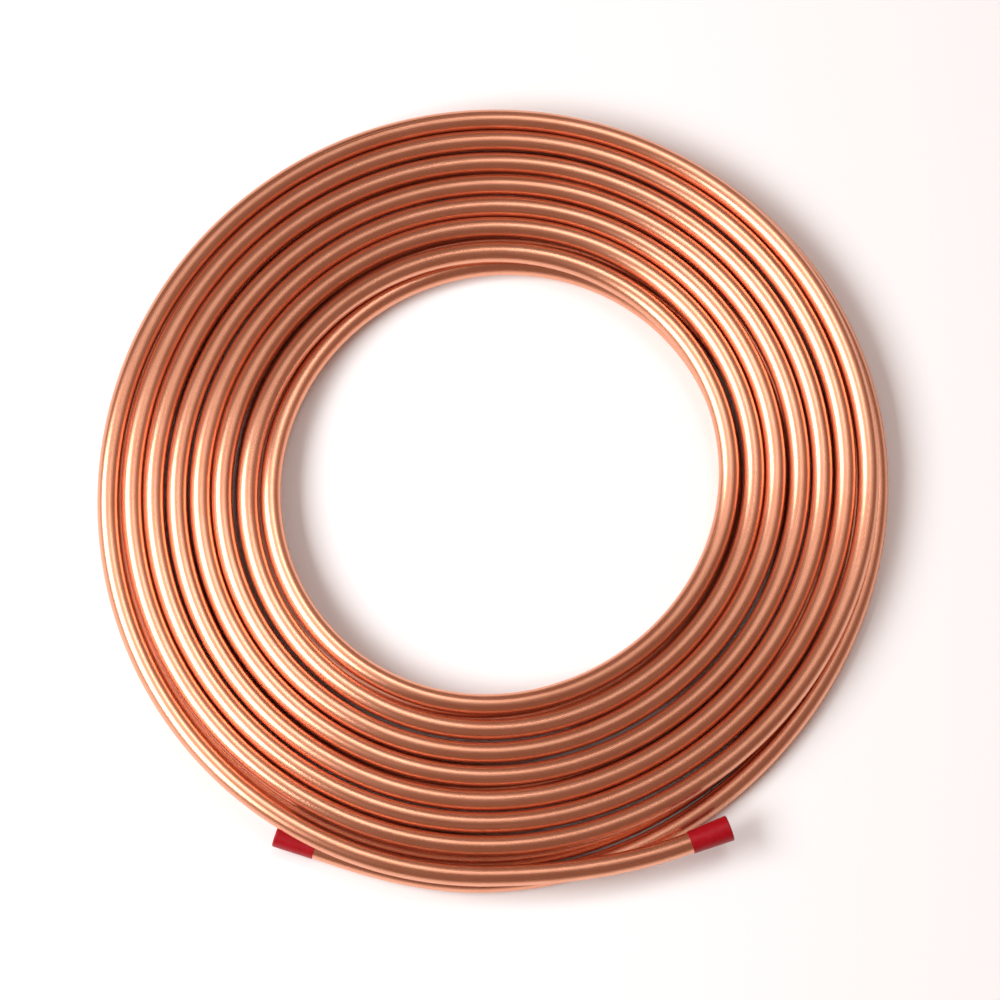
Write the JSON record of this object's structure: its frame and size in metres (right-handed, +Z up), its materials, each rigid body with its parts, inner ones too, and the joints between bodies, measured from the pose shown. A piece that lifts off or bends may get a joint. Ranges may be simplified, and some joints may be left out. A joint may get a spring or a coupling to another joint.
{
  "type": "copper tube coil",
  "caption": "Soft copper tube wound into a flat two-layer coil with an open eye, both free ends on the rim and closed by push-on plastic caps.",
  "frame": {"origin": "on the coil's axis, in the plane its lowest turns lie on", "axes": "+Z up along the coil's axis, -Y towards the side where both free ends lie, +X towards the cap of the top layer's end"},
  "size_m": [0.4707, 0.4737, 0.0291],
  "materials": {
    "copper": "bright drawn copper, satin",
    "red_cap": "soft moulded red plastic"
  },
  "bodies": {
    "root": {"copper_tube": "copper", "end_cap_top": "red_cap", "end_cap_bottom": "red_cap"}
  },
  "joints": []
}
